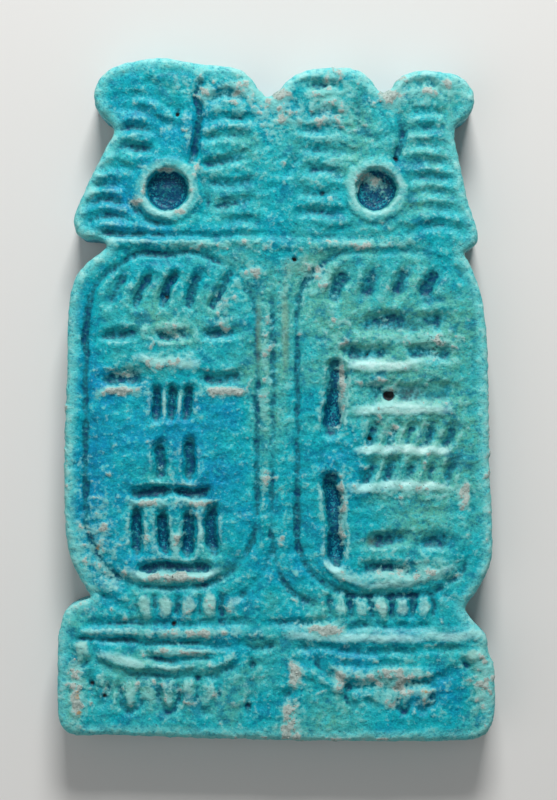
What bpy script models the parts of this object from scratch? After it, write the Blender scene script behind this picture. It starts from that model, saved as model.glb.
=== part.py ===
"""Inscribed faience plaque: plumes with discs over a pair of ringed name fields on a base block.

It lies on its back. X runs across it, Y towards the plumes, Z out of the carved face.
The origin is under the middle of the plaque, on its back face.
"""

import math

import bmesh
import bpy
from mathutils import Vector

MM = 0.001

# The three parts of the plaque, from the bottom up
BASE_HEIGHT = 20.4 * MM
BASE_WIDTH = 65.7 * MM
FIELDS_HEIGHT = 53.4 * MM
FIELDS_WIDTH = 64.5 * MM
CROWN_HEIGHT = 28.8 * MM
CROWN_WIDTH = 60.9 * MM

# Body
PLAQUE_THICKNESS = 8.6 * MM
FRONT_ROUNDING = 1.1 * MM
BACK_ROUNDING = 0.4 * MM

# Plumes
BARB_WIDTH = 1.25 * MM
BARB_DEPTH = 0.5 * MM
SHAFT_WIDTH = 1.2 * MM
SHAFT_DEPTH = 0.6 * MM

# Discs between the plumes
DISC_RIM_RADIUS = 4.05 * MM
DISC_RIM_WIDTH = 1.9 * MM
DISC_RIM_RISE = 0.4 * MM
DISC_PIT_DEPTH = 1.5 * MM
DISC_FLOOR_SHARE = 0.7

# Rings round the two name fields, and the bars that tie them below
RING_GROOVE_WIDTH = 1.1 * MM
RING_GROOVE_DEPTH = 0.5 * MM
RING_CORNER = 6.2 * MM
TIE_WIDTH = 1.0 * MM
TIE_DEPTH = 0.6 * MM

# Base block
BAND_WIDTH = 1.1 * MM
BAND_DEPTH = 0.5 * MM
COLLAR_WIDTH = 1.3 * MM
COLLAR_DEPTH = 0.7 * MM
PENDANT_WIDTH = 0.9 * MM
PENDANT_DEPTH = 0.55 * MM

# Strokes in the name fields
STROKE_WIDTH = 1.7 * MM
STROKE_DEPTH = 0.9 * MM
SLOT_WIDTH = 2.6 * MM
SLOT_DEPTH = 1.7 * MM

PLAQUE_HEIGHT = BASE_HEIGHT + FIELDS_HEIGHT + CROWN_HEIGHT
LOWEST = -PLAQUE_HEIGHT / 2
ZONES = {
    "base": (LOWEST, BASE_HEIGHT, BASE_WIDTH / 2),
    "fields": (LOWEST + BASE_HEIGHT, FIELDS_HEIGHT, FIELDS_WIDTH / 2),
    "crown": (LOWEST + BASE_HEIGHT + FIELDS_HEIGHT, CROWN_HEIGHT, CROWN_WIDTH / 2),
}

# The worn outline, clockwise, as shares of each zone's half width and height. Each stretch
# starts at a sharp notch, and a smooth curve runs through its points.
OUTLINE = [
    [
        ("crown", -0.828, 0.01), ("crown", -0.852, 0.047), ("crown", -0.966, 0.06),
        ("crown", -1.0, 0.141), ("crown", -0.966, 0.255), ("crown", -0.897, 0.411),
        ("crown", -0.837, 0.536), ("crown", -0.798, 0.635), ("crown", -0.862, 0.693),
        ("crown", -0.901, 0.79), ("crown", -0.872, 0.891), ("crown", -0.808, 0.948),
        ("crown", -0.704, 0.982), ("crown", -0.547, 1.0), ("crown", -0.399, 0.971),
        ("crown", -0.251, 0.956), ("crown", -0.163, 0.932), ("crown", -0.103, 0.865),
        ("crown", -0.039, 0.792), ("crown", 0.054, 0.88), ("crown", 0.133, 0.93),
        ("crown", 0.266, 0.948), ("crown", 0.374, 0.945), ("crown", 0.453, 0.906),
        ("crown", 0.498, 0.839), ("crown", 0.532, 0.812), ("crown", 0.567, 0.836),
        ("crown", 0.621, 0.906), ("crown", 0.69, 0.932), ("crown", 0.808, 0.927),
        ("crown", 0.916, 0.898), ("crown", 0.97, 0.828), ("crown", 0.98, 0.76),
        ("crown", 0.946, 0.688), ("crown", 0.887, 0.646), ("crown", 0.882, 0.578),
        ("crown", 0.911, 0.438), ("crown", 0.946, 0.255), ("crown", 0.985, 0.13),
        ("crown", 1.0, 0.062), ("crown", 0.98, 0.013),
    ],
    [
        ("fields", 0.87, 0.994), ("fields", 0.912, 0.947), ("fields", 0.953, 0.882),
        ("fields", 0.981, 0.772), ("fields", 0.991, 0.576), ("fields", 0.995, 0.379),
        ("fields", 1.009, 0.211), ("fields", 1.0, 0.115), ("fields", 0.953, 0.053),
    ],
    [
        ("base", 0.858, 0.971), ("base", 0.922, 0.838), ("base", 0.968, 0.765),
        ("base", 0.966, 0.669), ("base", 0.995, 0.57), ("base", 1.0, 0.43),
        ("base", 1.0, 0.2), ("base", 0.98, 0.085), ("base", 0.94, 0.02),
        ("base", 0.87, 0.0), ("base", 0.11, 0.0), ("base", -0.393, 0.018),
        ("base", -0.804, 0.04), ("base", -0.941, 0.044), ("base", -0.986, 0.103),
        ("base", -0.998, 0.24), ("base", -1.0, 0.5), ("base", -0.986, 0.86),
        ("base", -0.95, 0.985),
    ],
    [
        ("fields", -0.856, 0.017), ("fields", -0.916, 0.076), ("fields", -0.963, 0.14),
        ("fields", -0.984, 0.253), ("fields", -0.986, 0.435), ("fields", -0.972, 0.688),
        ("fields", -0.963, 0.857), ("fields", -0.935, 0.921), ("fields", -0.874, 0.966),
    ],
]

# How finely round forms are cut into facets
OUTLINE_STEPS = 3
FRONT_STEPS = 2
BACK_STEPS = 1
RIM_SIDES = 26
RIM_PROFILE_SIDES = 8
CORNER_STEPS = 6
COLLAR_STEPS = 10

# Points closer than this are one point
WELD = 0.001 * MM

# A groove's depth at its two ends, as a share of its full depth
GROOVE_END = 0.3
SLOT_END = 0.6

# A groove shorter than this many leads is deepest at its middle
SHORT_ROUTE = 6

# Each side of the crown: its disc, then its two plumes. A plume is given by the top and
# the foot of its edge, the top and the foot of its shaft, its rows of barbs and their tilt.
CROWN = {
    "left": (
        (-0.535, 0.31),
        (
            ((-0.77, 0.67), (-0.9, 0.11), (-0.58, 0.67), (-0.58, 0.11), 6, 0.0),
            ((-0.12, 0.86), (-0.08, 0.11), (-0.34, 0.86), (-0.34, 0.11), 7, -0.06),
        ),
    ),
    "right": (
        (0.493, 0.31),
        (
            ((0.12, 0.86), (0.04, 0.11), (0.37, 0.86), (0.37, 0.11), 7, 0.0),
            ((0.83, 0.76), (0.93, 0.11), (0.64, 0.76), (0.64, 0.11), 7, -0.1),
        ),
    ),
}
SHAFTS = (
    ((-0.39, 0.78), (-0.39, 0.5)),
    ((0.6, 0.72), (0.6, 0.48)),
)
CROWN_FOOT = ((-0.86, 0.073), (0.88, 0.073))

# Ring grooves: left, right, low and high limits as shares of the fields' zone
RINGS = {
    "left": (-0.893, -0.088, 0.037, 0.986),
    "right": (0.098, 0.921, 0.022, 0.992),
}
BETWEEN_RINGS = (
    (-0.19, 0.017), (-0.1, 0.05), (-0.03, 0.12), (-0.02, 0.25), (-0.02, 0.88), (0.05, 0.96),
)
TIES = (
    (-0.66, 0.101, 5),
    (0.25, 0.096, 6),
)
TIE_TOP = 0.012
TIE_FOOT = 0.91

# Strokes in rows: height, first and last place across, count, then half of each stroke's
# run across and rise, all as shares of the fields' zone
STROKES = (
    (0.885, -0.744, -0.26, 5, 0.03, 0.04),
    (0.761, -0.72, -0.25, 3, 0.07, 0.0),
    (0.638, -0.702, -0.251, 2, 0.088, 0.0),
    (0.567, -0.556, -0.412, 3, 0.0, 0.036),
    (0.407, -0.54, -0.409, 2, 0.0, 0.045),
    (0.317, -0.577, -0.386, 2, 0.07, 0.0),
    (0.205, -0.647, -0.293, 4, 0.0, 0.055),
    (0.107, -0.467, -0.467, 1, 0.14, 0.0),
    (0.904, 0.3, 0.72, 4, 0.03, 0.035),
    (0.795, 0.586, 0.586, 1, 0.186, 0.0),
    (0.711, 0.42, 0.72, 2, 0.08, 0.0),
    (0.596, 0.62, 0.62, 1, 0.19, 0.0),
    (0.472, 0.447, 0.8, 5, 0.02, 0.025),
    (0.371, 0.43, 0.82, 5, 0.02, 0.025),
    (0.18, 0.52, 0.74, 2, 0.07, 0.0),
    (0.101, 0.51, 0.51, 1, 0.11, 0.0),
)
SLOTS = (
    (0.579, 0.27, 0.27, 1, 0.0, 0.085),
    (0.239, 0.27, 0.27, 1, 0.0, 0.112),
)

# Base block: bands as left, right and height; collars as left, right, height and sag;
# pendants as first place, pitch, count, top and foot
BANDS = (
    (-0.84, -0.12, 0.868),
    (-0.89, -0.12, 0.735),
    (0.18, 0.78, 0.845),
    (0.08, 0.86, 0.668),
)
COLLARS = (
    (-0.82, -0.14, 0.63, 0.15),
    (0.17, 0.88, 0.55, 0.145),
)
PENDANTS = (
    (-0.83, 0.096, 7, 0.42, 0.25),
    (0.29, 0.086, 6, 0.35, 0.21),
)


def clear_scene():
    for obj in list(bpy.data.objects):
        bpy.data.objects.remove(obj, do_unlink=True)


def collection(name):
    found = bpy.data.collections.new(name)
    bpy.context.scene.collection.children.link(found)
    return found


def at(zone, across, up):
    """The place at these shares of a zone's half width and height."""
    bottom, height, half = ZONES[zone]
    return Vector((across * half, bottom + up * height, 0))


def mesh_object(name, mesh, home):
    obj = bpy.data.objects.new(name, mesh)
    home.objects.link(obj)
    return obj


def solid_from_curve(name, curve, home):
    """A closed mesh object from a curve, its caps welded on."""
    guide = bpy.data.objects.new(name + "_guide", curve)
    home.objects.link(guide)
    graph = bpy.context.evaluated_depsgraph_get()
    mesh = bpy.data.meshes.new_from_object(guide.evaluated_get(graph))
    bm = bmesh.new()
    bm.from_mesh(mesh)
    bmesh.ops.remove_doubles(bm, verts=bm.verts, dist=WELD)
    bmesh.ops.recalc_face_normals(bm, faces=bm.faces)
    bm.to_mesh(mesh)
    bm.free()
    obj = mesh_object(name, mesh, home)
    obj.matrix_world = guide.matrix_world
    bpy.data.objects.remove(guide, do_unlink=True)
    return obj


def faience():
    material = bpy.data.materials.new("glazed_faience")
    material.use_nodes = True
    shader = material.node_tree.nodes["Principled BSDF"]
    shader.inputs["Base Color"].default_value = (0.03, 0.35, 0.4, 1)
    shader.inputs["Roughness"].default_value = 0.4
    shader.inputs["Metallic"].default_value = 0
    return material


def round_edges(mesh, height, radius, segments):
    """Rounds the edge of an upright slab round its flat face at this height."""
    bm = bmesh.new()
    bm.from_mesh(mesh)
    flat = [
        face
        for face in bm.faces
        if all(abs(vert.co.z - height) < WELD for vert in face.verts)
    ]
    whole = bmesh.ops.dissolve_faces(bm, faces=flat)["region"]
    rim = {edge for face in whole for edge in face.edges}
    bmesh.ops.bevel(
        bm, geom=list(rim), offset=radius, segments=segments, profile=0.5, affect="EDGES"
    )
    bm.to_mesh(mesh)
    bm.free()


def plaque_body(home):
    """The slab: its outline cut through the full thickness, with a rounded front edge."""
    curve = bpy.data.curves.new("plaque_outline", "CURVE")
    curve.dimensions = "2D"
    curve.fill_mode = "BOTH"
    curve.extrude = PLAQUE_THICKNESS / 2
    curve.resolution_u = OUTLINE_STEPS
    stations = [(place, i == 0) for stretch in OUTLINE for i, place in enumerate(stretch)]
    spline = curve.splines.new("BEZIER")
    spline.bezier_points.add(len(stations) - 1)
    spline.use_cyclic_u = True
    for point, (place, sharp) in zip(spline.bezier_points, stations):
        point.co = at(*place)
        point.handle_left_type = point.handle_right_type = "VECTOR" if sharp else "AUTO"
    body = solid_from_curve("plaque", curve, home)
    for vert in body.data.vertices:
        vert.co.z += PLAQUE_THICKNESS / 2
    round_edges(body.data, PLAQUE_THICKNESS, FRONT_ROUNDING, FRONT_STEPS)
    round_edges(body.data, 0, BACK_ROUNDING, BACK_STEPS)
    body.data.materials.append(faience())
    return body


def hollow(name, routes, width, depth, home, end_depth=GROOVE_END, closed=False):
    """A cutter that sinks a round-bottomed groove along each route, shallower at its ends."""
    radius = (width * width / 4 + depth * depth) / (2 * depth)
    curve = bpy.data.curves.new(name, "CURVE")
    curve.dimensions = "3D"
    curve.bevel_depth = radius
    curve.bevel_resolution = 1
    curve.use_fill_caps = True
    for route in routes:
        spline = curve.splines.new("POLY")
        spline.points.add(len(route) - 1)
        spline.use_cyclic_u = closed
        for i, (point, place) in enumerate(zip(spline.points, route)):
            at_end = i in (0, len(route) - 1) and not closed
            sunk = depth * (end_depth if at_end else 1)
            point.co = (place.x, place.y, PLAQUE_THICKNESS + radius - sunk, 1)
    return solid_from_curve(name, curve, home)


def straight(start, end, lead):
    """A straight route that sinks to its full depth within a lead at both ends, or midway."""
    length = (end - start).length
    if length < SHORT_ROUTE * lead:
        return [start, (start + end) / 2, end]
    along = (end - start) * lead / length
    return [start, start + along, end - along, end]


def bowed(zone, left, right, up, sag):
    """A route that hangs between two places at one height, as a shallow bow."""
    route = []
    for i in range(COLLAR_STEPS + 1):
        share = 2 * i / COLLAR_STEPS - 1
        across = (left + right) / 2 + share * (right - left) / 2
        route.append(at(zone, across, up - sag * (1 - share * share)))
    return route


def rounded_frame(left, right, low, high, corner):
    """A closed route round a name field, with rounded corners."""
    route = []
    for turn, (x_side, y_side) in enumerate(((1, 1), (-1, 1), (-1, -1), (1, -1))):
        centre = Vector((
            (right if x_side > 0 else left) - x_side * corner,
            (high if y_side > 0 else low) - y_side * corner,
            0,
        ))
        for i in range(CORNER_STEPS + 1):
            angle = math.pi / 2 * (turn + i / CORNER_STEPS)
            route.append(centre + corner * Vector((math.cos(angle), math.sin(angle), 0)))
    return route


def barb_routes(plume, disc):
    """The grooves between a plume's barbs, each ended short of the disc's rim."""
    edge_top, edge_low, shaft_top, shaft_low, rows, tilt = plume
    clear = DISC_RIM_RADIUS + DISC_RIM_WIDTH / 2 + BARB_WIDTH / 2
    routes = []
    for row in range(rows):
        share = (row + 0.5) / rows
        edge = at("crown", *edge_top).lerp(at("crown", *edge_low), share)
        shaft = at("crown", *shaft_top).lerp(at("crown", *shaft_low), share)
        shaft.y = edge.y + tilt * abs(shaft.x - edge.x)
        above = shaft.y - disc.y
        if abs(above) < clear:
            reach = math.sqrt(clear * clear - above * above)
            side = math.copysign(1, edge.x - disc.x)
            if (shaft.x - disc.x) * side < reach:
                shaft.x = disc.x + side * reach
        routes.append(straight(edge, shaft, BARB_WIDTH))
    return routes


def disc_rim(name, place, home):
    """The raised ring round a disc, rounded on top and sunk into the face."""
    bpy.ops.mesh.primitive_torus_add(
        major_segments=RIM_SIDES,
        minor_segments=RIM_PROFILE_SIDES,
        major_radius=DISC_RIM_RADIUS,
        minor_radius=DISC_RIM_WIDTH / 2,
        location=(place.x, place.y, PLAQUE_THICKNESS + DISC_RIM_RISE - DISC_RIM_WIDTH / 2),
    )
    return adopted(name, home)


def disc_pit(name, place, home):
    """The sunk bowl of a disc. Its slanted wall starts on the inner slope of the rim."""
    mouth = DISC_RIM_RADIUS - DISC_RIM_WIDTH / 4
    top = PLAQUE_THICKNESS + DISC_RIM_RISE + DISC_RIM_WIDTH / 4
    depth = DISC_PIT_DEPTH + DISC_RIM_WIDTH / 4
    bpy.ops.mesh.primitive_cone_add(
        vertices=RIM_SIDES,
        radius1=mouth * DISC_FLOOR_SHARE,
        radius2=mouth,
        depth=depth,
        location=(place.x, place.y, top - depth / 2),
        rotation=(0, 0, math.pi / RIM_SIDES),
    )
    return adopted(name, home)


def adopted(name, home):
    """The object that an operator has just made, named and moved to its collection."""
    obj = bpy.context.object
    obj.name = name
    for other in list(obj.users_collection):
        other.objects.unlink(obj)
    home.objects.link(obj)
    return obj


def stroke_routes(rows):
    """Rows of parallel strokes, evenly spaced: none crosses or meets another."""
    routes = []
    for up, first, last, count, run, rise in rows:
        for i in range(count):
            across = first + (last - first) * i / max(count - 1, 1)
            start = at("fields", across - run, up - rise)
            end = at("fields", across + run, up + rise)
            routes.append(straight(start, end, STROKE_WIDTH / 2))
    return routes


def tie_routes():
    """The grooves between the bars that tie each ring to the base."""
    return [
        straight(at("fields", across, TIE_TOP), at("base", across, TIE_FOOT), TIE_WIDTH / 2)
        for first, pitch, count in TIES
        for across in (first + pitch * i for i in range(count))
    ]


def pendant_routes():
    """The grooves between the pendants that hang from each collar."""
    return [
        straight(at("base", across, top), at("base", across, foot), PENDANT_WIDTH / 2)
        for first, pitch, count, top, foot in PENDANTS
        for across in (first + pitch * i for i in range(count))
    ]


def cut(body, cutter, operation="DIFFERENCE"):
    cutter.hide_render = True
    cutter.display_type = "WIRE"
    modifier = body.modifiers.new(cutter.name, "BOOLEAN")
    modifier.operation = operation
    modifier.solver = "EXACT"
    modifier.object = cutter


def carve_crown(body, home):
    for side, (place, plumes) in CROWN.items():
        disc = at("crown", *place)
        barbs = [route for plume in plumes for route in barb_routes(plume, disc)]
        cut(body, hollow(f"barbs_{side}", barbs, BARB_WIDTH, BARB_DEPTH, home))
        cut(body, disc_rim(f"disc_rim_{side}", disc, home), "UNION")
        cut(body, disc_pit(f"disc_pit_{side}", disc, home))
    shafts = [straight(at("crown", *top), at("crown", *foot), SHAFT_WIDTH) for top, foot in SHAFTS]
    cut(body, hollow("shafts", shafts, SHAFT_WIDTH, SHAFT_DEPTH, home))
    foot = [straight(*(at("crown", *end) for end in CROWN_FOOT), BAND_WIDTH)]
    cut(body, hollow("crown_foot", foot, BAND_WIDTH, BAND_DEPTH, home))


def carve_fields(body, home):
    for side, (left, right, low, high) in RINGS.items():
        corner_low, corner_high = at("fields", left, low), at("fields", right, high)
        route = rounded_frame(
            corner_low.x, corner_high.x, corner_low.y, corner_high.y, RING_CORNER
        )
        ring = hollow(
            f"ring_{side}", [route], RING_GROOVE_WIDTH, RING_GROOVE_DEPTH, home, closed=True
        )
        cut(body, ring)
    middle = [[at("fields", *place) for place in BETWEEN_RINGS]]
    cut(body, hollow("between_rings", middle, RING_GROOVE_WIDTH, RING_GROOVE_DEPTH, home))
    cut(body, hollow("ties", tie_routes(), TIE_WIDTH, TIE_DEPTH, home))
    cut(body, hollow("strokes", stroke_routes(STROKES), STROKE_WIDTH, STROKE_DEPTH, home))
    cut(body, hollow("slots", stroke_routes(SLOTS), SLOT_WIDTH, SLOT_DEPTH, home, SLOT_END))


def carve_base(body, home):
    bands = [
        straight(at("base", left, up), at("base", right, up), BAND_WIDTH)
        for left, right, up in BANDS
    ]
    cut(body, hollow("bands", bands, BAND_WIDTH, BAND_DEPTH, home))
    collars = [bowed("base", *collar) for collar in COLLARS]
    cut(body, hollow("collars", collars, COLLAR_WIDTH, COLLAR_DEPTH, home))
    cut(body, hollow("pendants", pendant_routes(), PENDANT_WIDTH, PENDANT_DEPTH, home))


def main():
    clear_scene()
    parts = collection("inscribed_plaque")
    cutters = collection("cutters")
    body = plaque_body(parts)
    carve_crown(body, cutters)
    carve_fields(body, cutters)
    carve_base(body, cutters)


main()
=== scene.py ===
"""Inscribed faience plaque: its fine carving, worn glaze and crust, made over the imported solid.

Places and sizes are in millimetres, measured on the face from the plaque's middle: X runs across,
Y towards the plumes and Z out of the face, from the back. A mesh's points are metres.
"""

import math
import random

import bmesh
import bpy
import numpy as np
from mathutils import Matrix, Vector
from mathutils.geometry import delaunay_2d_cdt
from mathutils.kdtree import KDTree


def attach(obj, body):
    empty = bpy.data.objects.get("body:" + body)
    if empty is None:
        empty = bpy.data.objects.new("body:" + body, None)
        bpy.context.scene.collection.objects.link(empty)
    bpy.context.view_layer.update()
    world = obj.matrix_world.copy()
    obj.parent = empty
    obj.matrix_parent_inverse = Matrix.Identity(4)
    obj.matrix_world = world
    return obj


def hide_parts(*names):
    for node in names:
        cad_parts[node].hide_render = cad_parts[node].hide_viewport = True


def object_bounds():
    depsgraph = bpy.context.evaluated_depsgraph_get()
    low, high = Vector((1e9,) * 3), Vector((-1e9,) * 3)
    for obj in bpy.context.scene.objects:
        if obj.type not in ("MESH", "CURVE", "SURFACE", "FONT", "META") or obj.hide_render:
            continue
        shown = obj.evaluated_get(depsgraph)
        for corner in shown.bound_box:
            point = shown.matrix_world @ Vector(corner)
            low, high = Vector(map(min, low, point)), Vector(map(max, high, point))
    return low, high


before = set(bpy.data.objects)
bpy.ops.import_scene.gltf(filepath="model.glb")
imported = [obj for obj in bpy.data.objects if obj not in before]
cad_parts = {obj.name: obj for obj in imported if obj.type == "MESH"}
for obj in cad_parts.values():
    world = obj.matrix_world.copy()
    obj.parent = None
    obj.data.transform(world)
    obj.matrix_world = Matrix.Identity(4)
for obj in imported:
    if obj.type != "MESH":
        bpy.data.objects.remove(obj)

CAD_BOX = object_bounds()

# The height of the plaque at which the places below were measured
MEASURED_HEIGHT = 102.8
MM = (CAD_BOX[1].y - CAD_BOX[0].y) / MEASURED_HEIGHT

# Body: how far the discs' rims rise over the face, the face's height, its edges' roundings
RIM_RISE = 0.4
FACE = CAD_BOX[1].z / MM - RIM_RISE
FRONT_ROUNDING = 1.1
BACK_ROUNDING = 0.4

# The picture: its size in pixels, what one pixel is on the face, the place under its middle,
# then the camera's lens, its sensor, and how near and far it sees, in metres
PICTURE_PIXELS = (557, 800)
PIXEL = 0.15
PICTURE_MIDDLE = (0.375, -0.15)
LENS = 100
SENSOR = 36
CLIP_START = 0.01
CLIP_END = 10

# Mesh: gaps between points, rings of points that follow the rounded edge, how clear of the edge
# they and the lattice stay, a lattice row's height as a share of its gap, levels of the side wall
FACE_GAP = 0.296
RIM_GAP = 0.3
BACK_GAP = 1.3
EDGE_RINGS = (0.05, 0.16, 0.34, 0.58, 0.84)
EDGE_RING_CLEAR = 0.85
LATTICE_CLEAR = 1.02
LATTICE_ROW = math.sqrt(0.75)
WALL_LEVELS = (6.2, 4.6, 3.0, 1.5, 0.4)
OUTLINE_EASING = 8
WELD = 0.01

# Depth of each kind of carving, and the rise of each kind of raised form
SUNK = {
    "barbs": 0.46,
    "shafts": 0.75,
    "pits": 1.55,
    "rings": 0.52,
    "ties": 0.5,
    "strokes": 0.85,
    "slots": 1.7,
    "bands": 0.45,
    "collars": 0.36,
    "pendants": 0.46,
    "pinholes": 1.0,
}
RAISED = {
    "rims": 0.46,
    "ridges": 0.34,
    "bars": 0.36,
    "knobs": 0.42,
    "lips": 0.17,
    "swell": 0.15,
}

# The three parts of the plaque: lowest Y, height and half width
ZONES = {
    "base": (-51.3, 20.4, 32.85),
    "fields": (-30.9, 53.4, 32.25),
    "crown": (22.5, 28.8, 30.45),
}

# Discs between the plumes: place, radius of the rim's crest, width of the rim, share of floor
DISCS = (
    (-16.3, 31.4, 4.05, 1.9, 0.62),
    (15.0, 31.35, 3.95, 1.9, 0.62),
)

# How lines and mounds are drawn: waves and curves, a line's section, ends and lip, how the hand
# and wear vary it, and where a mound's slope starts and ends
WAVE_COUNT = 7
WAVE_LENGTHS = (0.7, 1.6)
CURVE_STEPS = 6
HALF_SECTION = 0.62
SECTION_POWER = 1.3
END_SHARE = 0.25
LIP_PLACE = 1.2
LIP_WIDTH = 0.7
LIP_REACH = 2.2
HAND_WOBBLE = 0.1
HAND_WOBBLE_SIZE = 5.0
HAND_SEEDS = (1, 2)
WEAR_VARIATION = 0.16
WEAR_SIZE = 6.0
WEAR_SEED = 3
MOUND_CREST = 0.35
MOUND_FOOT = 1.25
MOUND_REACH = 1.3

# Widths of the carved lines and raised forms
BARB_WIDTH = 1.8
SHAFT_WIDTH = 1.6
RING_WIDTH = 1.7
RING_STRENGTH = 1.25
RING_SHOULDER = 3.8
RING_SHOULDER_DEPTH = 0.6
MIDDLE_STRENGTHS = (1.1, 1.1, 0.7)
TIE_WIDTH = 1.5
BAND_WIDTH = 1.4
COLLAR_WIDTH = 1.9
PENDANT_WIDTH = 1.5
RIDGE_WIDTH = 1.8
BAR_WIDTH = 1.9
BAR_SHOULDER = 4.2
BAR_SHOULDER_RISE = 0.45

# How the hand varied the strokes: how far their points wander, shares of their width and depth
STROKE_WANDER = 0.16
STROKE_WIDTHS = (0.9, 1.2)
STROKE_DEPTHS = (0.92, 1.12)

# Discs: how uneven they are, and as shares the spread of the rim's foot, how far inside the
# crest the pit's mouth is, and where its wall starts
DISC_WOBBLE = 0.012
DISC_SEED = 4
RIM_SPREAD = 1.15
MOUTH_INSIDE = 0.2
PIT_MOUTH = 1.02

# The steps of a ring's corner, the slow swell of the face (share, size and seed of its waves),
# and how far in from the outline its rim fades
CORNER_STEPS = 8
SWELL = (
    (0.65, 11.0, 5),
    (0.35, 3.0, 6),
)
RIM_FADE = 2.8

# Surface grain, scabs of crust with where they and their halo start and are full, the span that
# holds most of a noise, and how many rounds of averaging find the hollows and lips
GRAIN_HEIGHT = 0.12
GRAIN_SIZE = 1.1
GRAIN_ON_GLAZE = 0.45
SCAB_SIZE = 1.8
SCAB_HEIGHT = 0.14
SCAB_EDGE = (0.67, 0.75)
SCAB_HALO = (0.58, 0.7)
SCAB_DETAIL = 3.0
SCAB_SPREAD = 0.36
NOISE_ROUGHNESS = 0.6
NOISE_SPAN = (0.35, 0.65)
WEAR_REACH = 12

# Crumbs of crust: how many to a square millimetre of full crust, the share of crust where they
# start, their smallest and largest size, how flat and how tilted they lie, in radians, and the
# size of their mottling
CRUMBS = 1.1
CRUMB_START = 0.5
CRUMB_SIZES = (0.06, 0.2)
CRUMB_FLATNESS = 0.5
CRUMB_TILT = 0.7
CRUMB_SEED = 7
CRUMB_MOTTLING = 0.9

# Colours of the glaze, the crust and the stage; some pale ones are partly painted highlights
GREEN_GLAZE = "52a999"
TURQUOISE_GLAZE = "08a3ae"
BLUE_GLAZE = "0088b2"
BRIGHT_GLAZE = "28c3cb"
DARK_GLAZE = "006e8c"
SHADED_GLAZE = "0a7f86"
PALE_GLAZE = "93d8d6"
# Pale edge glaze, also the painted highlight along the outline's rounded edge
EDGE_GLAZE_AND_HIGHLIGHT = "62c4c3"
SHALLOW_POOL = "0f87a0"
POOLED_GLAZE = "126872"
DEEP_GLAZE = "003c60"
# Pale lip colour, also a painted highlight
PALE_LIP_AND_HIGHLIGHT = "a4dbd8"
CRUST_FILM = "7dbeb6"
CRUST_HALO = "84c4c1"
CRUST_LIGHT = "b2bbb4"
CRUST_DARK = "869089"
# Pale knob colour, partly a painted highlight
PALE_KNOB_AND_HIGHLIGHT = "9cc3b8"
# Whitest bar colour, partly a painted highlight
PALE_BAR_AND_HIGHLIGHT = "c4e8e3"
EARTH_BROWN = "7d8f6a"
PORE_BROWN = "3a5654"
PINHOLE_BROWN = "3f3029"
RUST_BROWN = "a9824f"
FLOOR_GREY = "d9d8d5"

# Finish: the values that the mesh carries, noises with their size and detail, sums with their
# start and weighed terms, ramps of colour, and coats over each other: what drives each, where it
# starts and is full, how much it covers, its colour or ramp. The real quartz grain is too fine to
# show, so the grain here is two pixels wide.
FINISH_ATTRIBUTES = (
    "height", "bulge", "facing_key_light", "region", "crust", "rim", "rust", "pores", "earth", "bars",
    "knobs", "rims", "pinholes",
)
FINISH_NOISES = (
    ("cloud", 7.0, 3.0),
    ("mottle", 2.6, 4.0),
    ("blotch", 1.2, 4.0),
    ("fleck", 0.55, 3.0),
    ("grain", 0.33, 2.0),
    ("scab_shape", SCAB_SIZE, SCAB_DETAIL),
)
FINISH_SUMS = (
    ("hue", -0.15, (("cloud", 1.3), ("region", 0.55))),
    ("hollow", 0.0, (("height", -1 / MM), ("bulge", -1.6))),
    ("pooling", -0.25, (("hollow", 1.0), ("mottle", 0.5))),
    ("depth", 1.85, (("hollow", 0.5), ("fleck", -1.8), ("blotch", -1.2), ("mottle", -0.6))),
    ("glint", -1.0, (("hollow", 0.3), ("grain", 1.6))),
    # Lips are paler where they stand out, as worn glaze, and on slopes facing the key light, as a
    # painted highlight
    ("lip", -0.17, (("bulge", 0.9), ("facing_key_light", 0.12), ("fleck", 0.3))),
    # The outline's rounded edge is paler: thinned glaze, and a painted highlight along it
    ("edge", -0.3, (("rim", 1.0), ("mottle", 0.6))),
    # Bars are paler as pale glaze, and palest on slopes facing the key light, as a painted highlight
    ("bar_pale_and_highlight", -0.8, (("bars", 1.0), ("facing_key_light", 0.6), ("mottle", 0.8), ("blotch", 0.6))),
    ("whiteness", 0.5, (("region", -0.5),)),
    ("rim_film", -0.75, (("rims", 1.0), ("mottle", 0.8), ("blotch", 0.4))),
    # Knobs are paler as pale crust, and on slopes facing the key light, as a painted highlight
    ("knob_pale_and_highlight", -0.6, (("knobs", 1.0), ("facing_key_light", 0.3), ("blotch", 1.0))),
    ("film", -0.5, (
        ("crust", 0.45), ("mottle", 0.5), ("blotch", 0.8), ("fleck", 0.5), ("bulge", 0.5),
    )),
    ("scab", -0.13, (
        ("scab_shape", 1.0), ("crust", SCAB_SPREAD), ("fleck", 0.16), ("bulge", 0.15),
    )),
    ("shade", -0.75, (("blotch", 1.0), ("grain", 1.5))),
    ("pore", 0.0, (("grain", -1.0), ("pores", 0.13), ("crust", 0.02))),
    ("stain", -0.9, (("rust", 1.0), ("fleck", 1.4), ("grain", 0.6))),
    ("earth_film", -0.45, (("earth", 1.0), ("mottle", 0.5))),
    ("relief", 0.0, (("blotch", 0.8), ("fleck", 0.8), ("grain", 0.8), ("scab", 1.5))),
)
FINISH_RAMPS = (
    ("hue", ((0.1, GREEN_GLAZE), (0.5, TURQUOISE_GLAZE), (0.9, BLUE_GLAZE))),
    ("depth", ((0.12, SHALLOW_POOL), (0.45, POOLED_GLAZE), (0.85, DEEP_GLAZE))),
    ("shade", ((0.25, CRUST_DARK), (0.7, CRUST_LIGHT))),
    ("whiteness", ((0.55, PALE_LIP_AND_HIGHLIGHT), (0.9, PALE_BAR_AND_HIGHLIGHT))),
)
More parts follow.
